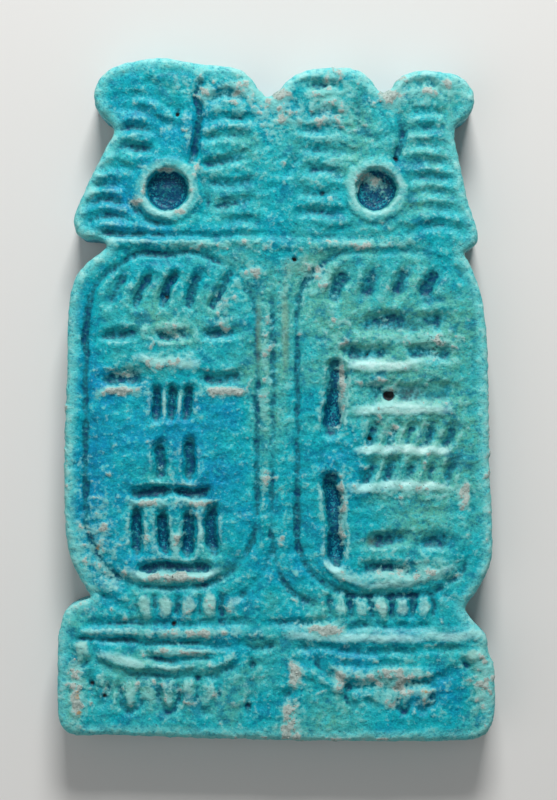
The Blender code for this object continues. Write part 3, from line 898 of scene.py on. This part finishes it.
def strokes(rows, seed):
    """Rows of parallel strokes that don't cross, as the hand cut them: route, width, strength."""
    hand = random.Random(seed)
    for up, first, last, count, run, rise, strength, width in rows:
        for i in range(count):
            across = first + (last - first) * i / max(count - 1, 1)
            ends = [at("fields", across + way * run, up + way * rise) for way in (-1, 0, 1)]
            route = [
                (x + hand.gauss(0, STROKE_WANDER), y + hand.gauss(0, STROKE_WANDER))
                for x, y in ends
            ]
            yield (
                curved(route),
                width * hand.uniform(*STROKE_WIDTHS),
                strength * hand.uniform(*STROKE_DEPTHS),
            )


def carve_fields(face):
    for rows, kind, seed, lead, lip in ROWED_CUTS:
        for route, width, strength in strokes(rows, seed):
            face.line(kind, route, width, strength=strength, lead=lead, lip=lip)


def carve_ties(face):
    for first, pitch, count in TIES:
        for i in range(count):
            across = at("fields", first + pitch * i, 0)[0]
            route = ((across, TIE_TOP), (across, TIE_FOOT))
            face.line("ties", route, TIE_WIDTH)


def add_knobs_and_pinholes(face):
    for x, y, half_across, half_up, rise in KNOBS:
        face.mound("knobs", x, y, half_across, half_up, rise / RAISED["knobs"])
    for x, y, radius, depth in PINHOLES:
        face.mound("pinholes", x, y, radius, radius, depth / SUNK["pinholes"])


def swell_face(face):
    swell = sum(share * waves(face.points, size, seed) for share, size, seed in SWELL)
    face.layers["swell"] = np.clip(swell, -1, 1)


def patches(points, rows):
    """Soft-edged patches: middle, half size across and up, and strength of each."""
    total = np.zeros(len(points))
    for x, y, half_across, half_up, strength in rows:
        offset = (points - (x, y)) / (half_across, half_up)
        total += strength * np.exp(-(offset**2).sum(1))
    return total


def outline():
    """The solid's outline, walked round the foot of its side wall, anticlockwise."""
    bm = bmesh.new()
    bm.from_mesh(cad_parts["plaque"].data)
    bmesh.ops.remove_doubles(bm, verts=bm.verts, dist=WELD * MM)
    bm.verts.ensure_lookup_table()
    links = {}
    for edge in bm.edges:
        if all(WELD < vert.co.z / MM < 2 * BACK_ROUNDING for vert in edge.verts):
            one, other = (vert.index for vert in edge.verts)
            links.setdefault(one, []).append(other)
            links.setdefault(other, []).append(one)
    ring = [min(links)]
    ring.append(links[ring[0]][0])
    while ring[-1] != ring[0]:
        one, other = links[ring[-1]]
        ring.append(other if one == ring[-2] else one)
    places = np.array([bm.verts[i].co.xy for i in ring[:-1]]) / MM
    bm.free()
    following = np.roll(places, -1, 0)
    area = (places[:, 0] * following[:, 1] - places[:, 1] * following[:, 0]).sum()
    return places if area > 0 else places[::-1]


def spaced(ring, gap):
    """The same closed ring with its points evenly spaced."""
    closed = np.vstack([ring, ring[:1]])
    run = np.concatenate([[0], np.cumsum(np.hypot(*np.diff(closed, axis=0).T))])
    places = np.linspace(0, run[-1], round(run[-1] / gap), endpoint=False)
    return np.column_stack([np.interp(places, run, closed[:, i]) for i in (0, 1)])


def eased(ring, rounds):
    """The ring with its corners worn round."""
    for _ in range(rounds):
        ring = (np.roll(ring, 1, 0) + 2 * ring + np.roll(ring, -1, 0)) / 4
    return ring


def inset(ring, by):
    """The ring moved inwards."""
    along = np.roll(ring, -1, 0) - np.roll(ring, 1, 0)
    inwards = np.column_stack([-along[:, 1], along[:, 0]]) / np.hypot(*along.T)[:, None]
    return ring + by * inwards


def edge_distance(points, ring):
    """How far the points are from the ring."""
    tree = KDTree(len(ring))
    for i, (x, y) in enumerate(ring):
        tree.insert((x, y, 0), i)
    tree.balance()
    nearest = np.array([tree.find((x, y, 0))[1] for x, y in points])
    best = np.full(len(points), np.inf)
    for before, after in ((-1, 0), (0, 1)):
        start = ring[(nearest + before) % len(ring)]
        along = ring[(nearest + after) % len(ring)] - start
        share = np.clip(((points - start) * along).sum(1) / (along**2).sum(1), 0, 1)
        best = np.minimum(best, np.hypot(*(points - start - share[:, None] * along).T))
    return best


def lattice(ring, gap, clear):
    """Points of a triangular lattice inside the ring, clear of it."""
    following = np.roll(ring, -1, 0)
    rows = []
    heights = np.arange(ring[:, 1].min(), ring[:, 1].max(), gap * LATTICE_ROW)
    for row, y in enumerate(heights):
        crossed = (ring[:, 1] > y) != (following[:, 1] > y)
        start, end = ring[crossed], following[crossed]
        share = (y - start[:, 1]) / (end[:, 1] - start[:, 1])
        ends = np.sort(start[:, 0] + share * (end[:, 0] - start[:, 0]))
        shift = (row % 2) / 2
        for left, right in zip(ends[::2], ends[1::2]):
            x = (np.arange(math.ceil(left / gap), right / gap) + shift) * gap
            x = x[x < right]
            rows.append(np.column_stack([x, np.full(len(x), y)]))
    points = np.vstack(rows)
    return points[edge_distance(points, ring) > clear]


def filled(ring, inner):
    """Triangles over the ring's inside through the inner points, and the numbers of the rim."""
    given = [Vector(place) for place in (*ring, *inner)]
    rim = list(range(len(ring)))
    places, _, faces, sources, _, _ = delaunay_2d_cdt(given, [], [rim], 1, WELD / 1000)
    number = {source: i for i, found in enumerate(sources) for source in found}
    return np.array([tuple(place) for place in places]), faces, [number[i] for i in rim]


def rounding(distance, radius):
    """How far a rounded edge has dropped at these distances from it."""
    inward = np.clip(radius - distance, 0, radius)
    return radius - np.sqrt(radius**2 - inward**2)


def slab():
    """The plaque before carving: the points and faces of one closed mesh.

    With them go the places of its face's points, and how far each is from the outline.
    """
    ring = eased(spaced(outline(), RIM_GAP), OUTLINE_EASING)
    near_edge = [inset(ring, by) for by in EDGE_RINGS]
    near_edge = [
        places[edge_distance(places, ring) > EDGE_RING_CLEAR * by]
        for places, by in zip(near_edge, EDGE_RINGS)
    ]
    face, face_triangles, rim = filled(
        ring, np.vstack([*near_edge, lattice(ring, FACE_GAP, LATTICE_CLEAR)])
    )
    distance = edge_distance(face, ring)
    places = [np.column_stack([face, FACE - rounding(distance, FRONT_ROUNDING)])]
    count = len(face)
    faces = [tuple(triangle) for triangle in face_triangles]
    back_ring = inset(ring, BACK_ROUNDING)
    halfway = BACK_ROUNDING * (1 - math.cos(math.pi / 4))
    levels = [(ring, level) for level in WALL_LEVELS]
    levels.append((inset(ring, halfway), halfway))
    upper = rim
    for level_ring, level in levels:
        lower = list(range(count, count + len(ring)))
        places.append(np.column_stack([level_ring, np.full(len(ring), level)]))
        faces += walls(upper, lower)
        count += len(ring)
        upper = lower
    back, back_triangles, back_rim = filled(back_ring, lattice(back_ring, BACK_GAP, BACK_GAP / 2))
    places.append(np.column_stack([back, np.zeros(len(back))]))
    faces += walls(upper, [count + i for i in back_rim])
    faces += [tuple(count + i for i in reversed(triangle)) for triangle in back_triangles]
    return np.vstack(places), faces, face, distance


def walls(upper, lower):
    """The faces between two rings of as many points, pointing outwards."""
    return [
        (upper[i - 1], lower[i - 1], lower[i], upper[i])
        for i in range(len(upper))
    ]


def named_mesh(name, places, faces):
    mesh = bpy.data.meshes.new(name)
    mesh.from_pydata((places * MM).tolist(), [], faces)
    mesh.shade_smooth()
    return mesh


def store(mesh, name, values):
    """Keeps one number for each point of the mesh. Points past the values get 0."""
    whole = np.zeros(len(mesh.vertices), np.float32)
    whole[:len(values)] = values
    mesh.attributes.new(name, "FLOAT", "POINT").data.foreach_set("value", whole)


def carved_slab():
    """The slab with the shares of all its carving kept on its points."""
    places, faces, face, distance = slab()
    carving = Carving(face)
    draw_lines(carving)
    for disc in DISCS:
        carve_disc(carving, *disc)
    carve_rings(carving)
    carve_fields(carving)
    carve_ties(carving)
    add_knobs_and_pinholes(carving)
    swell_face(carving)
    mesh = named_mesh("plaque_surface", places, faces)
    drop = FACE - places[:len(face), 2]
    inland = 1 - step(0, FRONT_ROUNDING, drop)
    for name, values in carving.layers.items():
        store(mesh, name, values * inland)
    store(mesh, "face", inland)
    # The band along the outline, which the finish paints paler: thinned glaze and a painted
    # highlight
    store(mesh, "rim", 1 - step(0, RIM_FADE, distance))
    region = patches(face, BLUE_PATCHES) - patches(face, GREEN_PATCHES)
    store(mesh, "region", np.clip(region, -1, 1))
    for name, rows in FACE_PATCHES.items():
        store(mesh, name, np.clip(patches(face, rows), 0, 1))
    return mesh


def node(tree, kind, wires=None, stops=None, **settings):
    """Adds a node with its settings. Each wire feeds an input from a socket or with a value."""
    made = tree.nodes.new(kind)
    for name, value in settings.items():
        setattr(made, name, value)
    for name, value in (wires or {}).items():
        if isinstance(value, bpy.types.NodeSocket):
            tree.links.new(value, made.inputs[name])
        else:
            made.inputs[name].default_value = value
    for i, (place, colour) in enumerate(stops or ()):
        elements = made.color_ramp.elements
        stop = elements[i] if i < 2 else elements.new(place)
        stop.position = place
        stop.color = colour
    return made


def new_tree(name, values):
    """A Geometry Nodes tree: geometry in and out, and an input named for each value."""
    tree = bpy.data.node_groups.new(name, "GeometryNodeTree")
    tree.interface.new_socket("Geometry", in_out="INPUT", socket_type="NodeSocketGeometry")
    for title, value in values.items():
        kind = "NodeSocketInt" if isinstance(value, int) else "NodeSocketFloat"
        tree.interface.new_socket(title, in_out="INPUT", socket_type=kind)
    tree.interface.new_socket("Geometry", in_out="OUTPUT", socket_type="NodeSocketGeometry")
    return tree


def shown(name, data):
    """A new object in the scene, at its origin."""
    obj = bpy.data.objects.new(name, data)
    bpy.context.scene.collection.objects.link(obj)
    return obj


def applied(mesh, name, tree, values):
    """The plain mesh that the tree makes of a mesh with these values for its inputs."""
    guide = shown(name + "_guide", mesh)
    modifier = guide.modifiers.new(tree.name, "NODES")
    modifier.node_group = tree
    for item in tree.interface.items_tree:
        if item.in_out == "INPUT" and item.name in values:
            modifier[item.identifier] = values[item.name]
    graph = bpy.context.evaluated_depsgraph_get()
    made = bpy.data.meshes.new_from_object(
        guide.evaluated_get(graph), preserve_all_data_layers=True, depsgraph=graph
    )
    bpy.data.objects.remove(guide, do_unlink=True)
    made.name = name
    return made


def relief_tree(material):
    """Sinks and raises the face by each kind of carving, roughens it, and marks hollows and lips."""
    values = {f"{kind.capitalize()} height": -depth * MM for kind, depth in SUNK.items()}
    values |= {f"{kind.capitalize()} height": rise * MM for kind, rise in RAISED.items()}
    values |= {
        "Grain height": GRAIN_HEIGHT * MM,
        "Grain size": GRAIN_SIZE * MM,
        "Scab height": SCAB_HEIGHT * MM,
        "Scab size": SCAB_SIZE * MM,
        "Wear reach": WEAR_REACH,
    }
    tree = new_tree("Carved relief", values)
    given = node(tree, "NodeGroupInput").outputs
    kept = {
        name: node(
            tree, "GeometryNodeInputNamedAttribute", {"Name": name}, data_type="FLOAT"
        ).outputs["Attribute"]
        for name in (*SUNK, *RAISED, "face", "crust")
    }
    total = 0.0
    for kind in (*SUNK, *RAISED):
        full = given[f"{kind.capitalize()} height"]
        total = node(
            tree, "ShaderNodeMath", {0: kept[kind], 1: full, 2: total}, operation="MULTIPLY_ADD"
        ).outputs[0]
    rise = node(tree, "ShaderNodeCombineXYZ", {"Z": total}).outputs[0]
    shape = node(
        tree, "GeometryNodeSetPosition", {"Geometry": given["Geometry"], "Offset": rise}
    ).outputs[0]
    shape = node(
        tree, "GeometryNodeStoreNamedAttribute",
        {"Geometry": shape, "Name": "height", "Value": total}, data_type="FLOAT",
    ).outputs[0]
    place = node(tree, "GeometryNodeInputPosition").outputs[0]
    # Grain, higher on crust, and scabs that stand up where the crust is thick
    noise = {}
    for name, size, detail in (("grain", "Grain size", 1.0), ("scab", "Scab size", SCAB_DETAIL)):
        scale = node(
            tree, "ShaderNodeMath", {0: 1.0, 1: given[size]}, operation="DIVIDE"
        ).outputs[0]
        noise[name] = node(
            tree, "ShaderNodeTexNoise",
            {"Vector": place, "Scale": scale, "Detail": detail, "Roughness": NOISE_ROUGHNESS},
        ).outputs[0]
    grain = node(tree, "ShaderNodeMapRange", {
        "Value": noise["grain"], "From Min": NOISE_SPAN[0], "From Max": NOISE_SPAN[1],
        "To Min": -1.0,
    }).outputs[0]
    height = node(tree, "ShaderNodeMapRange", {
        "Value": kept["crust"], "To Min": GRAIN_ON_GLAZE, "To Max": 1.0,
    }).outputs[0]
    height = node(
        tree, "ShaderNodeMath", {0: height, 1: given["Grain height"]}, operation="MULTIPLY"
    ).outputs[0]
    scab = node(
        tree, "ShaderNodeMath", {0: kept["crust"], 1: SCAB_SPREAD, 2: noise["scab"]},
        operation="MULTIPLY_ADD",
    ).outputs[0]
    scab = node(tree, "ShaderNodeMapRange", {
        "Value": scab, "From Min": SCAB_EDGE[0], "From Max": SCAB_EDGE[1],
        "To Max": given["Scab height"],
    }).outputs[0]
    lift = node(
        tree, "ShaderNodeMath", {0: grain, 1: height, 2: scab}, operation="MULTIPLY_ADD"
    ).outputs[0]
    normal = node(tree, "GeometryNodeInputNormal").outputs[0]
    shift = node(
        tree, "ShaderNodeVectorMath", {0: normal, "Scale": lift}, operation="SCALE"
    ).outputs[0]
    shape = node(
        tree, "GeometryNodeSetPosition", {"Geometry": shape, "Offset": shift}
    ).outputs[0]
    # What stands above its surroundings, and what faces up the plaque towards the key light
    level = node(tree, "ShaderNodeSeparateXYZ", {0: place}).outputs["Z"]
    around = node(
        tree, "GeometryNodeBlurAttribute", {"Value": level, "Iterations": given["Wear reach"]},
        data_type="FLOAT",
    ).outputs[0]
    bulge = node(tree, "ShaderNodeMath", {0: level, 1: around}, operation="SUBTRACT").outputs[0]
    bulge = node(
        tree, "ShaderNodeMath", {0: bulge, 1: kept["face"]}, operation="MULTIPLY"
    ).outputs[0]
    bulge = node(tree, "ShaderNodeMath", {0: bulge, 1: 1 / MM}, operation="MULTIPLY").outputs[0]
    # Slopes that face the key light, which the finish paints paler as a painted highlight
    facing_key_light = node(tree, "ShaderNodeSeparateXYZ", {0: normal}).outputs["Y"]
    for name, value in (("bulge", bulge), ("facing_key_light", facing_key_light)):
        shape = node(
            tree, "GeometryNodeStoreNamedAttribute",
            {"Geometry": shape, "Name": name, "Value": value}, data_type="FLOAT",
        ).outputs[0]
    shape = node(tree, "GeometryNodeRealizeInstances", {"Geometry": shape}).outputs[0]
    shape = node(
        tree, "GeometryNodeSetMaterial", {"Geometry": shape, "Material": material}
    ).outputs[0]
    node(tree, "NodeGroupOutput", {"Geometry": shape})
    return tree, values


def tone(colour):
    """A colour given as sRGB hex, in linear light."""
    parts = [int(colour[i:i + 2], 16) / 255 for i in (0, 2, 4)]
    return (*(c / 12.92 if c <= 0.04045 else ((c + 0.055) / 1.055) ** 2.4 for c in parts), 1.0)


def per_metre(size):
    """The scale of a noise whose features have this size in millimetres."""
    return 1 / (size * MM)


def new_material(name):
    """A material with nodes, then its tree and its shader."""
    material = bpy.data.materials.new(name)
    material.use_nodes = True
    tree = material.node_tree
    return material, tree, tree.nodes["Principled BSDF"]


def glazed_faience():
    """Glazed faience, fired from quartz paste under a copper glaze.

    The glaze pools dark blue in the hollows, thins to pale turquoise on edges and lips, and is
    mottled all over. Grey lime crust sits where it is rough, with a pale film round it. Painted
    highlights lie over this: on the outline's rounded edge, and on lips, bars and knobs where
    their slopes face the key light; pale glints are painted in the hollows.
    """
    material, tree, shader = new_material("glazed_faience")
    place = node(tree, "ShaderNodeTexCoord").outputs["Object"]
    value = {
        name: node(tree, "ShaderNodeAttribute", attribute_name=name).outputs["Fac"]
        for name in FINISH_ATTRIBUTES
    }
    for name, size, detail in FINISH_NOISES:
        value[name] = node(tree, "ShaderNodeTexNoise", {
            "Vector": place, "Scale": per_metre(size), "Detail": detail,
            "Roughness": NOISE_ROUGHNESS,
        }).outputs[0]
    for name, start, terms in FINISH_SUMS:
        total = start
        for term, weight in terms:
            total = node(
                tree, "ShaderNodeMath", {0: value[term], 1: weight, 2: total},
                operation="MULTIPLY_ADD",
            ).outputs[0]
        value[name] = total
    ramps = {
        name: node(tree, "ShaderNodeValToRGB", {0: value[name]}, stops=[
            (stop, tone(colour)) for stop, colour in stops
        ]).outputs[0]
        for name, stops in FINISH_RAMPS
    }
    colour = ramps["hue"]
    for name, low, high, most, coat in FINISH_COATS:
        share = node(tree, "ShaderNodeMapRange", {
            "Value": value[name], "From Min": low, "From Max": high, "To Max": most,
        }, interpolation_type="SMOOTHSTEP").outputs[0]
        colour = node(tree, "ShaderNodeMix", {
            0: share, 6: colour, 7: ramps[coat] if coat in ramps else tone(coat),
        }, data_type="RGBA").outputs[2]
    tree.links.new(colour, shader.inputs["Base Color"])
    # The glaze shines softly, the crust is dull
    rough = node(tree, "ShaderNodeMapRange", {
        "Value": value["scab"], "From Min": SCAB_HALO[0], "From Max": SCAB_HALO[1],
        "To Min": GLAZE_ROUGHNESS, "To Max": CRUST_ROUGHNESS,
    }).outputs[0]
    tree.links.new(rough, shader.inputs["Roughness"])
    shader.inputs["Specular IOR Level"].default_value = GLAZE_SPECULAR
    bump = node(tree, "ShaderNodeBump", {
        "Height": value["relief"], "Strength": 1.0, "Distance": BUMP_DISTANCE * MM,
    }).outputs[0]
    tree.links.new(bump, shader.inputs["Normal"])
    return material


def lime_crust():
    """Lime crust, grown on the glaze in the ground: dull grains of grey and beige."""
    material, tree, shader = new_material("lime_crust")
    place = node(tree, "ShaderNodeTexCoord").outputs["Object"]
    shade = node(tree, "ShaderNodeTexNoise", {
        "Vector": place, "Scale": per_metre(CRUMB_MOTTLING), "Detail": SCAB_DETAIL,
    }).outputs[0]
    colour = node(tree, "ShaderNodeValToRGB", {0: shade}, stops=(
        (NOISE_SPAN[0], tone(CRUST_DARK)), (NOISE_SPAN[1], tone(CRUST_LIGHT)),
    )).outputs[0]
    tree.links.new(colour, shader.inputs["Base Color"])
    shader.inputs["Roughness"].default_value = CRUST_ROUGHNESS
    return material


def crumb_tree(material):
    """Scatters small flattened grains over the crusted places."""
    values = {
        "Crumbs per area": CRUMBS / MM**2,
        "Smallest": CRUMB_SIZES[0] * MM,
        "Largest": CRUMB_SIZES[1] * MM,
        "Flatness": CRUMB_FLATNESS,
    }
    tree = new_tree("Crust crumbs", values)
    given = node(tree, "NodeGroupInput").outputs
    crust = node(
        tree, "GeometryNodeInputNamedAttribute", {"Name": "crust"}, data_type="FLOAT"
    ).outputs["Attribute"]
    often = node(tree, "ShaderNodeMapRange", {
        "Value": crust, "From Min": CRUMB_START, "To Max": given["Crumbs per area"],
    }).outputs[0]
    spread = node(
        tree, "GeometryNodeDistributePointsOnFaces",
        {"Mesh": given["Geometry"], "Density": often, "Seed": CRUMB_SEED},
    ).outputs
    grain = node(tree, "GeometryNodeMeshIcoSphere", {"Radius": 1.0, "Subdivisions": 1}).outputs[0]
    size = node(tree, "FunctionNodeRandomValue", {
        2: given["Smallest"], 3: given["Largest"], "Seed": CRUMB_SEED,
    }, data_type="FLOAT").outputs[1]
    low = node(
        tree, "ShaderNodeMath", {0: size, 1: given["Flatness"]}, operation="MULTIPLY"
    ).outputs[0]
    scale = node(tree, "ShaderNodeCombineXYZ", {0: size, 1: size, 2: low}).outputs[0]
    turn = node(tree, "FunctionNodeRandomValue", {
        0: (0.0, 0.0, 0.0), 1: (CRUMB_TILT, CRUMB_TILT, math.tau), "Seed": CRUMB_SEED,
    }, data_type="FLOAT_VECTOR").outputs[0]
    shape = node(tree, "GeometryNodeInstanceOnPoints", {
        "Points": spread["Points"], "Instance": grain, "Rotation": turn, "Scale": scale,
    }).outputs[0]
    shape = node(tree, "GeometryNodeRealizeInstances", {"Geometry": shape}).outputs[0]
    shape = node(
        tree, "GeometryNodeSetMaterial", {"Geometry": shape, "Material": material}
    ).outputs[0]
    node(tree, "NodeGroupOutput", {"Geometry": shape})
    return tree, values


def plaque():
    """The plaque's surface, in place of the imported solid."""
    mesh = applied(carved_slab(), "plaque_surface", *relief_tree(glazed_faience()))
    keep_inside(mesh)
    obj = shown("plaque_surface", mesh)
    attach(obj, "root")
    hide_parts("plaque")
    return obj


def crust_crumbs(surface):
    """Grains of crust that stand on the plaque's surface."""
    mesh = applied(surface.data, "crust_crumbs", *crumb_tree(lime_crust()))
    keep_inside(mesh)
    obj = shown("crust_crumbs", mesh)
    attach(obj, "root")


def keep_inside(mesh):
    """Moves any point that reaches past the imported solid's box back onto it."""
    places = np.zeros(len(mesh.vertices) * 3, np.float32)
    mesh.vertices.foreach_get("co", places)
    places = np.clip(places.reshape(-1, 3), CAD_BOX[0], CAD_BOX[1])
    mesh.vertices.foreach_set("co", places.ravel().astype(np.float32))
    mesh.update()


def floor():
    """A plain pale floor, just under the plaque."""
    mesh = bpy.data.meshes.new("floor")
    half = FLOOR_HALF
    corners = [(-half, -half), (half, -half), (half, half), (-half, half)]
    mesh.from_pydata([(x, y, -FLOOR_GAP * MM) for x, y in corners], [], [(0, 1, 2, 3)])
    material, _, shader = new_material("matt_paper")
    shader.inputs["Base Color"].default_value = tone(FLOOR_GREY)
    shader.inputs["Roughness"].default_value = FLOOR_ROUGHNESS
    mesh.materials.append(material)
    shown("floor", mesh)


def camera():
    """Looks straight down on the face, so that one pixel there is as wide as in the photograph."""
    data = bpy.data.cameras.new("camera")
    data.lens = LENS
    data.sensor_width = SENSOR
    data.clip_start = CLIP_START
    data.clip_end = CLIP_END
    obj = shown("camera", data)
    distance = max(PICTURE_PIXELS) * PIXEL * LENS / SENSOR
    x, y = PICTURE_MIDDLE
    obj.location = Vector((x, y, FACE + distance)) * MM
    bpy.context.scene.camera = obj


def softbox(name, place, size, power):
    """A square soft light that faces the plaque."""
    data = bpy.data.lights.new(name, "AREA")
    data.shape = "SQUARE"
    data.size = size
    data.energy = power
    obj = shown(name, data)
    obj.location = place
    obj.rotation_mode = "QUATERNION"
    obj.rotation_quaternion = (-Vector(place)).to_track_quat("-Z", "Y")


def lights():
    for light in SOFTBOXES:
        softbox(*light)
    world = bpy.data.worlds.new("studio")
    world.use_nodes = True
    background = world.node_tree.nodes["Background"]
    background.inputs["Color"].default_value = tone(SKY_GREY)
    background.inputs["Strength"].default_value = SKY_STRENGTH
    bpy.context.scene.world = world
    bpy.context.scene.view_settings.view_transform = "Standard"


surface = plaque()
crust_crumbs(surface)
floor()
camera()
lights()
